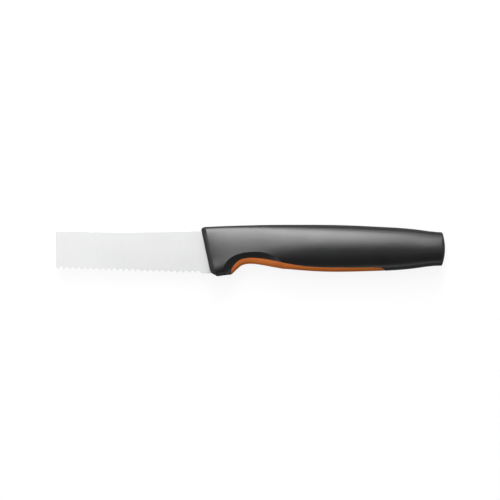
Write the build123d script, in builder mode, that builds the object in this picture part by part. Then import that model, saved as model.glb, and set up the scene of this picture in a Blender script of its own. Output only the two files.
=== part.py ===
from build123d import *
import os
from math import copysign, cos, pi, radians, sin, tan

os.makedirs("parts", exist_ok=True)

# The knife lies on its side. +X runs from the end of the blade to the butt of the handle,
# +Y from the cutting edge to the spine, +Z up through the thickness.
# The origin is the middle of the knife's length and depth, on the surface that it lies on.

# Driving dimensions, in millimetres
handle_length = 118.0
handle_depth = 24.7
handle_thickness = 17.4
blade_reach = 70.8
blade_height = 20.9
blade_stock = 1.3
overrun = 5.0

# Blade: how it narrows towards its end, and how spine and edge bow
spine_drop = 2.75
spine_fall = 0.05
spine_dip = 0.65
rim_radius = 0.15
end_height = 18.4
edge_bow = 0.25
ground_thickness = 1.2
edge_thickness = 0.45
ricasso_length = 0.4
blade_corner_radius = 0.4
blade_root_depth = 8.0

# Scalloped edge, ground from the lower face only
scallop_pitch = 2.9
scallop_depth = 1.05
scallop_count = 25
first_tip_inset = 0.9
grind_angle = 22.0

# Tang inside the handle, with the holes that lock it in the first plastic shot
tang_length = 78.0
tang_height = 9.0
tang_end_height = 6.0
tang_rise = 1.0
tang_corner_radius = 1.5
lock_hole_radius = 2.2
lock_hole_spacing = 26.0
first_lock_hole = 22.0

# Handle front, butt and edges
front_lean_angle = 12.3
front_pivot_height = 8.65
front_bevel_length = 2.3
front_bevel_side_depth = 1.3
front_bevel_back_depth = 0.5
front_bevel_heel_depth = 1.2
front_rounding_length = 1.2
front_rounding_depth = 1.0
butt_dome_radius = 24.0
butt_dome_height = 0.8
butt_edge_radius = 0.9

# First shot: plate round the tang, and how far the band lies below the black surface
plate_wall = 1.6
plate_corner_radius = 3.0
plate_front_share = 0.05
plate_heel_share = 0.16
band_step = 0.1

# Cross-sections of the handle: station, back, belly, widest height, thickness and taper. Stations
# are shares of the handle's length from its front, heights are shares of its depth from mid-depth,
# and thicknesses are shares of its thickness. The taper is how much of that the back is thinner.
front_section_shares = (0.455, -0.499, -0.31, 0.705, 0.16)
section_shares = [
    (0.09, 0.472, -0.497, -0.20, 0.720, 0.26),
    (0.15, 0.482, -0.470, -0.12, 0.735, 0.25),
    (0.20, 0.489, -0.440, -0.14, 0.750, 0.18),
    (0.28, 0.497, -0.372, -0.10, 0.790, 0.03),
    (0.36, 0.499, -0.380, -0.04, 0.850, 0),
    (0.46, 0.499, -0.417, 0.01, 0.930, 0),
    (0.56, 0.493, -0.430, 0.03, 0.980, 0),
    (0.66, 0.476, -0.421, 0.035, 1.000, 0),
    (0.76, 0.452, -0.404, 0.035, 0.985, 0),
    (0.88, 0.408, -0.356, 0.03, 0.930, 0),
    (1.01, 0.354, -0.318, 0.03, 0.840, 0),
]
section_point_count = 16

# How square the cross-sections are: flat-sided at the front, nearly elliptical further back
front_exponent = 3.5
body_exponent = 2.1
flat_sided_share = 0.3

# Finger notch: its floor line at mid-thickness, and its rim line at the cutter's reach on each side
notch_half_width = 9.0
notch_floor_shares = [(0.101, -0.577), (0.122, -0.481), (0.142, -0.387), (0.165, -0.300),
                      (0.190, -0.270), (0.223, -0.275), (0.288, -0.328), (0.338, -0.372),
                      (0.404, -0.450)]
notch_rim_shares = [(0.020, -0.440), (0.041, -0.350), (0.056, -0.131), (0.084, 0.042),
                    (0.147, 0.195), (0.223, 0.200), (0.288, 0.030), (0.338, -0.160),
                    (0.404, -0.300)]

# Upper line of the orange band in side view, past the underside at both ends
band_line_shares = [(0.115, -0.600), (0.119, -0.480), (0.124, -0.365), (0.136, -0.273),
                    (0.157, -0.194), (0.184, -0.155), (0.215, -0.150), (0.267, -0.180),
                    (0.349, -0.259), (0.404, -0.303), (0.460, -0.329), (0.550, -0.339),
                    (0.650, -0.340), (0.715, -0.338), (0.738, -0.352), (0.752, -0.390),
                    (0.758, -0.440)]

# Places worked out from the sizes above
overall_length = blade_reach + handle_length
blade_end_x = -overall_length / 2
front_x = blade_end_x + blade_reach
butt_x = overall_length / 2
front_lean = radians(front_lean_angle)
middle_z = handle_thickness / 2
below_y = -handle_depth / 2 - overrun
spine_y = handle_depth / 2 - spine_drop
edge_y = spine_y - blade_height
front_middle_x = front_x + front_pivot_height * tan(front_lean)
shoulder_x = front_x + blade_root_depth
plate_thickness = blade_stock + 2 * plate_wall


def handle_point(along_share, height_share):
    """Place in the handle's side view, from shares of its length and depth."""
    return (front_x + handle_length * along_share, handle_depth * height_share)


def section_outline(station, back, belly, widest, half_thickness, taper):
    """Points round one rounded cross-section, thickest near the widest height."""
    flatness = max(0, 1 - station / flat_sided_share)
    exponent = body_exponent + (front_exponent - body_exponent) * flatness
    points = []
    for index in range(section_point_count):
        turn = 2 * pi * index / section_point_count
        rise = copysign(abs(cos(turn)) ** (2 / exponent), cos(turn))
        reach = copysign(abs(sin(turn)) ** (2 / exponent), sin(turn))
        height = (back - widest if rise > 0 else widest - belly) * rise
        thinning = 1 - taper * height / (back - widest)
        points.append((widest + height, middle_z + half_thickness * thinning * reach))
    return points


def region_below(line_points):
    """Closed outline between a line in side view and a level below the knife."""
    first, last = line_points[0], line_points[-1]
    Spline(*line_points)
    Polyline(last, (last[0], below_y - overrun), (first[0], below_y - overrun), first)


# Finger notch cutter: rounded across the handle, deepest at the rims
notch_floor = [handle_point(*shares) for shares in notch_floor_shares]
notch_rim = [handle_point(*shares) for shares in notch_rim_shares]
with BuildPart() as notch_cutter:
    for height, line in [
        (middle_z - notch_half_width, notch_rim),
        (middle_z, notch_floor),
        (middle_z + notch_half_width, notch_rim),
    ]:
        with BuildSketch(Plane.XY.offset(height)):
            with BuildLine():
                region_below(line)
            make_face()
    loft()

# Butt cutter: what lies outside the shallow dome
with BuildPart() as butt_cutter:
    with Locations((butt_x, 0, middle_z)):
        Box(butt_dome_radius, 2 * handle_depth, 2 * handle_thickness)
    with Locations((butt_x - butt_dome_radius, butt_dome_height, middle_z)):
        Sphere(butt_dome_radius, mode=Mode.SUBTRACT)


def front_plane(setback):
    """Plane parallel to the handle's slanted front, at a distance behind it."""
    return Plane(
        origin=(front_middle_x + setback / cos(front_lean), 0, 0),
        x_dir=(-sin(front_lean), cos(front_lean), 0),
        z_dir=(cos(front_lean), sin(front_lean), 0),
    )


def front_section(setback, side_depth, back_depth, heel_depth):
    """Plane and outline of a section parallel to the slanted front, drawn in by the depths."""
    back, belly, widest, thickness, taper = front_section_shares
    outline = section_outline(
        0,
        handle_depth * back - back_depth,
        handle_depth * belly + heel_depth,
        handle_depth * widest,
        handle_thickness * thickness / 2 - side_depth,
        taper,
    )
    return front_plane(setback), [(height / cos(front_lean), z) for height, z in outline]


def handle_sections(inset):
    """Planes and outlines of the handle behind its nose, all drawn in by an inset."""
    sections = [front_section(front_bevel_length, inset, inset, inset)]
    for station, back, belly, widest, thickness, taper in section_shares:
        outline = section_outline(
            station,
            handle_depth * back - inset,
            handle_depth * belly + inset,
            handle_depth * widest,
            handle_thickness * thickness / 2 - inset,
            taper,
        )
        sections.append((Plane.YZ.offset(front_x + handle_length * station), outline))
    return sections


def make_handle_form(inset):
    """The whole handle's outer form behind its nose."""
    with BuildPart() as form:
        for plane, outline in handle_sections(inset):
            with BuildSketch(plane):
                with BuildLine():
                    Spline(*outline, periodic=True)
                make_face()
        loft()
        add(butt_cutter.part, mode=Mode.SUBTRACT)
        butt_face = form.faces().filter_by(GeomType.SPHERE).sort_by(Axis.X)[-1]
        fillet(butt_face.edges(), butt_edge_radius)
        add(notch_cutter.part, mode=Mode.SUBTRACT)
    return form.part


# Bevelled nose: narrows evenly towards the slanted front face, and rounds over into it
with BuildPart() as nose:
    nose_steps = [
        (front_rounding_length * (1 - sin(turn)), front_rounding_depth * (1 - cos(turn)))
        for turn in (pi / 2, pi / 3, pi / 6, 0)
    ]
    for setback, rounding in nose_steps + [(front_bevel_length, 0)]:
        bevel_share = 1 - setback / front_bevel_length
        plane, outline = front_section(
            setback,
            front_bevel_side_depth * bevel_share + rounding,
            front_bevel_back_depth * bevel_share + rounding,
            front_bevel_heel_depth * bevel_share + rounding,
        )
        with BuildSketch(plane):
            with BuildLine():
                Spline(*outline, periodic=True)
            make_face()
    loft()


# Blade and tang, one blank cut from sheet. The hollow arc of the spine runs on into the handle.
blade_middle_x = (blade_end_x + front_x) / 2
spine_rise = spine_dip * (((shoulder_x - blade_middle_x) / (front_x - blade_middle_x)) ** 2 - 1)
spine_end = (blade_end_x, spine_y - spine_fall)
spine_root = (shoulder_x, spine_y + spine_rise)
edge_root = (shoulder_x, edge_y)
edge_end = (blade_end_x, spine_end[1] - end_height)
tang_end_x = front_x + tang_length
tang_half = tang_height / 2
tang_end_half = tang_end_height / 2


def edge_height(x):
    """Height of the line through the scallop tips at a place along the blade."""
    along = (x - blade_end_x) / (shoulder_x - blade_end_x)
    return edge_end[1] + (edge_y - edge_end[1]) * along - 4 * edge_bow * along * (1 - along)


with BuildPart() as blade:
    with BuildSketch(Plane.XY.offset(middle_z - blade_stock / 2)):
        with BuildLine():
            ThreePointArc(spine_end, (blade_middle_x, spine_y - spine_fall / 2 - spine_dip), spine_root)
            Line(spine_root, edge_root)
            ThreePointArc(edge_root, (blade_middle_x, edge_height(blade_middle_x)), edge_end)
            Line(edge_end, spine_end)
        make_face()
        fillet(vertices().sort_by(Axis.X)[:2], blade_corner_radius)
    extrude(amount=blade_stock)

    # Both flanks are ground thinner towards the edge. Full stock is left in the handle and for a
    # short ricasso in front of it.
    with BuildSketch(front_plane(-ricasso_length)):
        for side in (1, -1):
            with BuildLine():
                spine_corner = (spine_y / cos(front_lean), middle_z + side * ground_thickness / 2)
                edge_corner = (edge_y / cos(front_lean), middle_z + side * edge_thickness / 2)
                low_corner = (
                    2 * edge_corner[0] - spine_corner[0],
                    2 * edge_corner[1] - spine_corner[1],
                )
                Polyline(
                    spine_corner,
                    low_corner,
                    (low_corner[0], middle_z + side * overrun),
                    (spine_corner[0], middle_z + side * overrun),
                    close=True,
                )
            make_face()
    extrude(amount=blade_reach + 2 * overrun, dir=(-1, 0, 0), mode=Mode.SUBTRACT)

    # The rims of the spine and of the square end are eased
    spine_face = faces().sort_by(Axis.Y)[-1]
    end_face = faces().sort_by(Axis.X)[0]
    rims = spine_face.edges().filter_by(lambda edge: edge.length > blade_reach / 2)
    rims += end_face.edges().filter_by(lambda edge: edge.length > end_height / 2)
    fillet(rims, rim_radius)

    # Scallops: a row of slanted round cuts that leave a bevel on the lower face
    rise_over_half_pitch = scallop_depth * sin(radians(grind_angle))
    wheel_radius = ((scallop_pitch / 2) ** 2 + rise_over_half_pitch**2) / (2 * rise_over_half_pitch)
    for index in range(scallop_count):
        centre_x = blade_end_x + first_tip_inset + scallop_pitch * (index - 1 / 2)
        valley_y = edge_height(centre_x) + scallop_depth
        axis_drop = wheel_radius / sin(radians(grind_angle))
        wheel_plane = Plane(
            origin=(centre_x, valley_y - axis_drop, middle_z + edge_thickness / 2),
            x_dir=(1, 0, 0),
            z_dir=(0, cos(radians(grind_angle)), -sin(radians(grind_angle))),
        )
        with BuildSketch(wheel_plane.offset(axis_drop * cos(radians(grind_angle)) - overrun)):
            Circle(wheel_radius)
        extrude(amount=2 * overrun, mode=Mode.SUBTRACT)

    # Stick tang with its lock holes
    with BuildSketch(Plane.XY.offset(middle_z - blade_stock / 2)):
        with BuildLine():
            Polyline(
                (shoulder_x, tang_rise + tang_half),
                (tang_end_x, tang_rise + tang_end_half),
                (tang_end_x, tang_rise - tang_end_half),
                (shoulder_x, tang_rise - tang_half),
                close=True,
            )
        make_face()
        fillet(vertices().sort_by(Axis.X)[-2:], tang_corner_radius)
        with Locations(
            (front_x + first_lock_hole, tang_rise),
            (front_x + first_lock_hole + lock_hole_spacing, tang_rise),
        ):
            Circle(lock_hole_radius, mode=Mode.SUBTRACT)
    extrude(amount=blade_stock)
blade.part.label = "blade"

# First plastic shot: the underside band, and the plate that grips the tang
band_line = [handle_point(*shares) for shares in band_line_shares]
with BuildPart() as band_region:
    with BuildSketch(Plane.XY.offset(-overrun)):
        with BuildLine():
            region_below(band_line)
        make_face()
    extrude(amount=handle_thickness + 2 * overrun)

with BuildPart() as plate:
    plate_top = tang_rise + tang_half + plate_wall
    plate_bottom = tang_rise - tang_half - plate_wall
    plate_front_x = handle_point(plate_front_share, 0)[0]
    plate_heel_x = handle_point(plate_heel_share, 0)[0]
    plate_tail_x = tang_end_x + plate_wall
    with BuildSketch(Plane.XY.offset(middle_z - plate_thickness / 2)):
        with BuildLine():
            Polyline(
                (plate_front_x, plate_top),
                (plate_tail_x, plate_top),
                (plate_tail_x, below_y),
                (plate_heel_x, below_y),
                (plate_heel_x, plate_bottom),
                (plate_front_x, plate_bottom),
                close=True,
            )
        make_face()
        fillet(vertices().group_by(Axis.Y)[-1], plate_corner_radius)
    extrude(amount=plate_thickness)

with BuildPart() as handle_core:
    add(band_region.part)
    add(plate.part)
    add(make_handle_form(band_step), mode=Mode.INTERSECT)
    add(blade.part, mode=Mode.SUBTRACT)
handle_core.part.label = "handle_core"

# Second plastic shot: everything else of the handle
with BuildPart() as handle_shell:
    add(make_handle_form(0))
    add(nose.part)
    add(band_region.part, mode=Mode.SUBTRACT)
    add(plate.part, mode=Mode.SUBTRACT)
    add(blade.part, mode=Mode.SUBTRACT)
handle_shell.part.label = "handle_shell"

export_step(blade.part, "parts/blade.step")
export_step(handle_core.part, "parts/handle_core.step")
export_step(handle_shell.part, "parts/handle_shell.step")
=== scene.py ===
from math import cos, pi, radians, sin

import bpy
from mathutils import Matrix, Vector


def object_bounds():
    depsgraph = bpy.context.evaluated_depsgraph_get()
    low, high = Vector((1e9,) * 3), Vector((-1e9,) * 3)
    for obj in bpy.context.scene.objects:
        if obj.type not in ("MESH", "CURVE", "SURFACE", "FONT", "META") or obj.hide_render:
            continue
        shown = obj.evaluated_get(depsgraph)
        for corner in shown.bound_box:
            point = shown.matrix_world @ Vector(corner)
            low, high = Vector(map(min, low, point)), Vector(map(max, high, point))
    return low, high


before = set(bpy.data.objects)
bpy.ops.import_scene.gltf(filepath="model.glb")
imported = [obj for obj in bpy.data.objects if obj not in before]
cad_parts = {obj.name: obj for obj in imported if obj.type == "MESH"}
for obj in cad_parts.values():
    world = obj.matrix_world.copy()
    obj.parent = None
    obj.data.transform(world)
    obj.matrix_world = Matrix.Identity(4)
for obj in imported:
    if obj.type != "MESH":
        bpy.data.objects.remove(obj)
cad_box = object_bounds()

# The knife lies on its side: +X from the blade's end to the butt, +Y towards the spine, +Z up.
# The camera looks straight down on it, as in the photograph. Lengths are in metres, angles in degrees.
cad_low, cad_high = cad_box
middle_z = (cad_low.z + cad_high.z) / 2

# Camera: how wide the photograph is at the knife's middle plane, and where its centre lies.
# Lens and sensor are in millimetres, as the camera takes them.
photo_width = 0.24275
photo_centre_x = -0.00023
photo_centre_y = 0.00007
lens = 180.0
sensor = 36.0
clip_near_share = 0.01
clip_far_share = 20.0

# The lamps stand round the knife as the photograph shows, and keep their places beside the camera.
# Softbox past the spine: a curved strip round the X axis. Angles are from the camera's direction,
# and strip_profile says how bright the strip is at each of them.
strip_radius = 1.6
strip_steps = 24
strip_width = 0.76
strip_shift = -0.06
strip_top_angle = 2.0
strip_foot_angle = 90.0
strip_radiance = 11.7
strip_edge_share = 0.12
strip_profile = [(2, 0.0), (10, 0.16), (18, 0.38), (30, 0.68), (42, 0.86),
                 (55, 0.97), (66, 1.0), (78, 0.72), (90, 0.12)]
right_angle = 90.0

# Side fills, and the light from all round
fill_distance = 1.2
fill_size = 1.0
fill_height_angle = 54.0
left_fill_radiance = 1.8
right_fill_radiance = 0.4
sky_strength = 0.15
horizon_strength = 1.0
horizon_top = 0.12

# Floor: a matt colour that takes the knife's shadow, lifted to white where it is seen. Past the near
# radius it goes over into plain white.
floor_reach = 6.0
floor_colour = 0.12
floor_lift = 0.88
floor_near_radius = 0.2
floor_far_radius = 0.7

# Noise swings round a half: the stretch of it that takes a value from one end to the other
noise_low = 0.3
noise_high = 0.7
fine_low = 0.2
fine_high = 0.8
fine_detail = 3.0
coarse_detail = 2.0

# Steel: colours, gloss, and the real size and depth of its grain. Faces that lean more than
# steel_bevel_tilt from the flat flanks are the scallops' fresher cuts.
steel_dark = (0.665, 0.667, 0.67)
steel_light = (0.69, 0.692, 0.695)
steel_grain_share = 0.5
steel_roughness = 0.46
steel_cloud_swing = 0.03
steel_grain_swing = 0.04
steel_bevel_roughness = 0.42
steel_bevel_tilt = 12.0
steel_grain = 0.00012
steel_grain_stretch = 40.0
steel_grain_depth = 0.000001
steel_band = 0.0009
steel_band_stretch = 12.0
steel_band_depth = 0.0000004
steel_cloud = 0.014

# Plastics: colours, gloss and its swing, and the real size and depth of the moulding texture
core_dark = (0.82, 0.195, 0.026)
core_light = (0.93, 0.255, 0.036)
core_specular = 0.5
core_roughness = 0.4
core_swing = 0.03
core_pebble = 0.0003
core_pebble_depth = 0.000006
grip_dark = (0.007, 0.007, 0.0078)
grip_light = (0.010, 0.010, 0.011)
grip_specular = 0.6
grip_roughness = 0.33
grip_swing = 0.02
grip_pebble = 0.00024
grip_pebble_depth = 0.000008
plastic_patch = 0.012
pebble_share = 0.4

# Seen edge on, the pebbled surface loses its gloss: where that starts and ends, and how matt it gets
grazing_start = 0.28
grazing_end = 0.45
grazing_roughness = 1.0


def link(obj):
    """Put an object in the scene."""
    bpy.context.scene.collection.objects.link(obj)
    return obj


def add_camera():
    """Camera as the photograph has it, with the point that the lamps hang on at the knife's middle."""
    data = bpy.data.cameras.new("camera")
    data.lens = lens
    data.sensor_width = sensor
    distance = photo_width * lens / sensor
    data.clip_start = distance * clip_near_share
    data.clip_end = distance * clip_far_share
    camera = link(bpy.data.objects.new("camera", data))
    camera.location = (photo_centre_x, photo_centre_y, middle_z + distance)
    bpy.context.scene.camera = camera
    rig = link(bpy.data.objects.new("lamp_rig", None))
    rig.parent = camera
    rig.location = (-photo_centre_x, -photo_centre_y, -distance)
    return rig


class Nodes:
    """Short calls for building a node tree."""

    def __init__(self, tree):
        self.tree = tree
        tree.nodes.clear()

    def add(self, kind, **values):
        """New node, with its properties and its inputs set by name."""
        node = self.tree.nodes.new(kind)
        for name, value in values.items():
            if hasattr(node, name):
                setattr(node, name, value)
            else:
                self.set(node.inputs[name.replace("_", " ")], value)
        return node

    def set(self, socket, value):
        """Link a socket to an input, or write a plain value into it."""
        if isinstance(value, bpy.types.NodeSocket):
            self.tree.links.new(value, socket)
        else:
            socket.default_value = value

    def math(self, operation, first, second=0.0):
        """Result of one step of arithmetic."""
        node = self.tree.nodes.new("ShaderNodeMath")
        node.operation = operation
        for socket, value in zip(node.inputs, (first, second)):
            self.set(socket, value)
        return node.outputs[0]

    def noise(self, cell, stretch=(1, 1, 1), detail=coarse_detail):
        """Soft noise round 0.5. Its cells have a real size, drawn out along the axes by stretch."""
        scaled = self.add("ShaderNodeVectorMath", operation="DIVIDE")
        self.set(scaled.inputs[0], self.add("ShaderNodeTexCoord").outputs["Object"])
        self.set(scaled.inputs[1], [cell * amount for amount in stretch])
        texture = self.add("ShaderNodeTexNoise", Scale=1.0, Detail=detail)
        self.set(texture.inputs["Vector"], scaled.outputs[0])
        return texture.outputs["Fac"]

    def bump(self, height, depth, under=None):
        """Normal of a relief of a real depth, laid over another relief if one is given."""
        node = self.add("ShaderNodeBump", Height=height, Distance=depth)
        if under is not None:
            self.set(node.inputs["Normal"], under)
        return node.outputs[0]

    def blend(self, share, first, second):
        """Colour between two colours."""
        node = self.add("ShaderNodeMix", data_type="RGBA")
        for socket, value in zip((node.inputs[0], node.inputs[6], node.inputs[7]),
                                 (share, (*first, 1), (*second, 1))):
            self.set(socket, value)
        return node.outputs[2]

    def mixed(self, share, first, second):
        """Value between two others: a share of the first, and the rest of the second."""
        part = self.math("MULTIPLY", first, share)
        rest = self.math("MULTIPLY", second, 1 - share)
        return self.math("ADD", part, rest)

    def range(self, value, low, high, to_low=0.0, to_high=1.0, smooth=False):
        """Value drawn out from one stretch to another, and held at its ends."""
        node = self.tree.nodes.new("ShaderNodeMapRange")
        node.interpolation_type = "SMOOTHSTEP" if smooth else "LINEAR"
        for name, item in (("Value", value), ("From Min", low), ("From Max", high),
                           ("To Min", to_low), ("To Max", to_high)):
            self.set(node.inputs[name], item)
        return node.outputs[0]


def seen_ray(nodes):
    """1 for camera, glossy and transmission rays, so that metal shows what the camera shows."""
    path = nodes.add("ShaderNodeLightPath")
    some = nodes.math("MAXIMUM", path.outputs["Is Camera Ray"], path.outputs["Is Glossy Ray"])
    return nodes.math("MAXIMUM", some, path.outputs["Is Transmission Ray"])


def add_floor():
    """Square under the knife, level with the surface that it lies on."""
    corners = [(-1, -1), (1, -1), (1, 1), (-1, 1)]
    vertices = [(x * floor_reach, y * floor_reach, cad_low.z) for x, y in corners]
    mesh = bpy.data.meshes.new("floor")
    mesh.from_pydata(vertices, [], [(0, 1, 2, 3)])
    material = bpy.data.materials.new("floor")
    material.use_nodes = True
    nodes = Nodes(material.node_tree)
    output = nodes.add("ShaderNodeOutputMaterial")
    position = nodes.add("ShaderNodeNewGeometry").outputs["Position"]
    distance = nodes.add("ShaderNodeVectorMath", operation="LENGTH")
    nodes.set(distance.inputs[0], position)
    away = nodes.range(distance.outputs["Value"], floor_near_radius, floor_far_radius, smooth=True)
    matt = nodes.add("ShaderNodeBsdfDiffuse", Color=(floor_colour, floor_colour, floor_colour, 1))
    lift = nodes.math("MULTIPLY", seen_ray(nodes), floor_lift)
    near_glow = nodes.add("ShaderNodeEmission", Strength=lift)
    near = nodes.add("ShaderNodeAddShader")
    nodes.set(near.inputs[0], matt.outputs[0])
    nodes.set(near.inputs[1], near_glow.outputs[0])
    far = nodes.add("ShaderNodeEmission", Strength=seen_ray(nodes))
    both = nodes.add("ShaderNodeMixShader", Fac=away)
    nodes.set(both.inputs[1], near.outputs[0])
    nodes.set(both.inputs[2], far.outputs[0])
    nodes.set(output.inputs["Surface"], both.outputs[0])
    mesh.materials.append(material)
    link(bpy.data.objects.new("floor", mesh))


def strip_point(angle, across):
    """Place on the curved softbox."""
    turn = radians(angle)
    return (strip_shift + across, strip_radius * sin(turn), strip_radius * cos(turn))


def add_strip(rig):
    """Curved softbox. Its glow follows strip_profile from top to foot and fades at its sides."""
    step = (strip_foot_angle - strip_top_angle) / strip_steps
    angles = [strip_top_angle + step * index for index in range(strip_steps + 1)]
    vertices = [strip_point(angle, side * strip_width / 2) for angle in angles for side in (-1, 1)]
    faces = [(2 * i, 2 * i + 1, 2 * i + 3, 2 * i + 2) for i in range(strip_steps)]
    mesh = bpy.data.meshes.new("strip")
    mesh.from_pydata(vertices, [], faces)
    material = bpy.data.materials.new("strip")
    material.use_nodes = True
    nodes = Nodes(material.node_tree)
    output = nodes.add("ShaderNodeOutputMaterial")
    split = nodes.add("ShaderNodeSeparateXYZ")
    nodes.set(split.inputs[0], nodes.add("ShaderNodeTexCoord").outputs["Object"])
    turn = nodes.math("ARCTAN2", split.outputs["Y"], split.outputs["Z"])
    ramp = nodes.add("ShaderNodeValToRGB")
    while len(ramp.color_ramp.elements) < len(strip_profile):
        ramp.color_ramp.elements.new(1.0)
    for element, (angle, glow) in zip(ramp.color_ramp.elements, strip_profile):
        element.position = angle / right_angle
        element.color = (glow, glow, glow, 1)
    nodes.set(ramp.inputs[0], nodes.range(turn, 0.0, radians(right_angle)))
    off_middle = nodes.math("ABSOLUTE", nodes.math("SUBTRACT", split.outputs["X"], strip_shift))
    outer = strip_width / 2
    inner = outer - strip_width * strip_edge_share
    sides = nodes.range(off_middle, inner, outer, 1.0, 0.0, smooth=True)
    glow = nodes.math("MULTIPLY", nodes.math("MULTIPLY", ramp.outputs[0], sides), strip_radiance)
    emission = nodes.add("ShaderNodeEmission", Strength=glow)
    nodes.set(output.inputs["Surface"], emission.outputs[0])
    mesh.materials.append(material)
    strip = link(bpy.data.objects.new("strip", mesh))
    strip.parent = rig
    strip.visible_camera = False


def add_fill(rig, name, side, radiance):
    """Square softbox off one end of the knife, fill_height_angle above it and turned towards it."""
    data = bpy.data.lights.new(name, "AREA")
    data.size = fill_size
    data.energy = radiance * pi * fill_size ** 2
    lamp = link(bpy.data.objects.new(name, data))
    turn = radians(fill_height_angle)
    lamp.parent = rig
    lamp.location = (side * fill_distance * cos(turn), 0, fill_distance * sin(turn))
    lamp.rotation_mode = "QUATERNION"
    lamp.rotation_quaternion = (-lamp.location).to_track_quat("-Z", "Y")
    lamp.visible_camera = False


def add_world():
    """Even, weak light from above, and a white horizon where the camera or a reflection looks."""
    world = bpy.data.worlds.new("world")
    world.use_nodes = True
    nodes = Nodes(world.node_tree)
    output = nodes.add("ShaderNodeOutputWorld")
    split = nodes.add("ShaderNodeSeparateXYZ")
    nodes.set(split.inputs[0], nodes.add("ShaderNodeTexCoord").outputs["Generated"])
    low = nodes.range(split.outputs["Z"], 0.0, horizon_top, 1.0, 0.0, smooth=True)
    camera_ray = nodes.add("ShaderNodeLightPath").outputs["Is Camera Ray"]
    white = nodes.math("MAXIMUM", camera_ray, nodes.math("MULTIPLY", low, seen_ray(nodes)))
    strength = nodes.range(white, 0.0, 1.0, sky_strength, horizon_strength)
    background = nodes.add("ShaderNodeBackground", Strength=strength)
    nodes.set(output.inputs["Surface"], background.outputs[0])
    bpy.context.scene.world = world


def new_finish(name, **values):
    """Material with one Principled shader, and its node calls."""
    material = bpy.data.materials.new(name)
    material.use_nodes = True
    nodes = Nodes(material.node_tree)
    output = nodes.add("ShaderNodeOutputMaterial")
    shader = nodes.add("ShaderNodeBsdfPrincipled", **values)
    nodes.set(output.inputs["Surface"], shader.outputs[0])
    return material, nodes, shader


def satin_steel():
    """Ground steel: fine scratches from spine to edge, and a smoother cut on the scallops' bevels."""
    material, nodes, shader = new_finish("blade_steel", Metallic=1.0)
    grain = nodes.noise(steel_grain, (1, steel_grain_stretch, 1), fine_detail)
    bands = nodes.noise(steel_band, (1, steel_band_stretch, 1))
    clouds = nodes.noise(steel_cloud)
    tone = nodes.range(nodes.mixed(steel_grain_share, grain, bands), noise_low, noise_high)
    nodes.set(shader.inputs["Base Color"], nodes.blend(tone, steel_dark, steel_light))

    split = nodes.add("ShaderNodeSeparateXYZ")
    nodes.set(split.inputs[0], nodes.add("ShaderNodeNewGeometry").outputs["True Normal"])
    upright = nodes.math("ABSOLUTE", split.outputs["Z"])
    on_bevel = nodes.math("LESS_THAN", upright, cos(radians(steel_bevel_tilt)))
    swing = nodes.math(
        "ADD",
        nodes.range(clouds, noise_low, noise_high, -steel_cloud_swing, steel_cloud_swing),
        nodes.range(grain, fine_low, fine_high, -steel_grain_swing, steel_grain_swing),
    )
    middle = nodes.range(on_bevel, 0.0, 1.0, steel_roughness, steel_bevel_roughness)
    nodes.set(shader.inputs["Roughness"], nodes.math("ADD", middle, swing))
    relief = nodes.bump(bands, steel_band_depth)
    nodes.set(shader.inputs["Normal"], nodes.bump(grain, steel_grain_depth, relief))
    return material


def moulded_plastic(name, specular, dark, light, roughness, swing, cell, depth):
    """Fine pebbled moulding texture, with a little variation in colour and gloss."""
    material, nodes, shader = new_finish(name)
    shader.inputs["Specular IOR Level"].default_value = specular
    pebbles = nodes.noise(cell, detail=fine_detail)
    patches = nodes.noise(plastic_patch)
    tone = nodes.range(nodes.mixed(pebble_share, pebbles, patches), noise_low, noise_high)
    nodes.set(shader.inputs["Base Color"], nodes.blend(tone, dark, light))

    even = nodes.range(patches, noise_low, noise_high, roughness - swing, roughness + swing)
    gloss = nodes.math("ADD", even, nodes.range(pebbles, fine_low, fine_high, -swing, swing))
    facing = nodes.add("ShaderNodeLayerWeight").outputs["Facing"]
    grazing = nodes.range(facing, grazing_start, grazing_end, smooth=True)
    rise = nodes.math("MULTIPLY", grazing, grazing_roughness - roughness)
    nodes.set(shader.inputs["Roughness"], nodes.math("ADD", gloss, rise))
    nodes.set(shader.inputs["Normal"], nodes.bump(pebbles, depth))
    return material


def orange_core():
    """First shot: smooth orange plastic."""
    return moulded_plastic(
        "core_plastic", core_specular, core_dark, core_light,
        core_roughness, core_swing, core_pebble, core_pebble_depth,
    )


def black_grip():
    """Second shot: black soft-touch plastic."""
    return moulded_plastic(
        "grip_plastic", grip_specular, grip_dark, grip_light,
        grip_roughness, grip_swing, grip_pebble, grip_pebble_depth,
    )


finishes = {"blade": satin_steel(), "handle_core": orange_core(), "handle_shell": black_grip()}


def dress(node):
    """Give a CAD object its finish."""
    node.data.materials.clear()
    node.data.materials.append(finishes[node.name])


lamp_rig = add_camera()
add_world()
add_strip(lamp_rig)
add_fill(lamp_rig, "left_fill", -1, left_fill_radiance)
add_fill(lamp_rig, "right_fill", 1, right_fill_radiance)
add_floor()
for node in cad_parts.values():
    dress(node)

bpy.context.scene.view_settings.view_transform = "Standard"
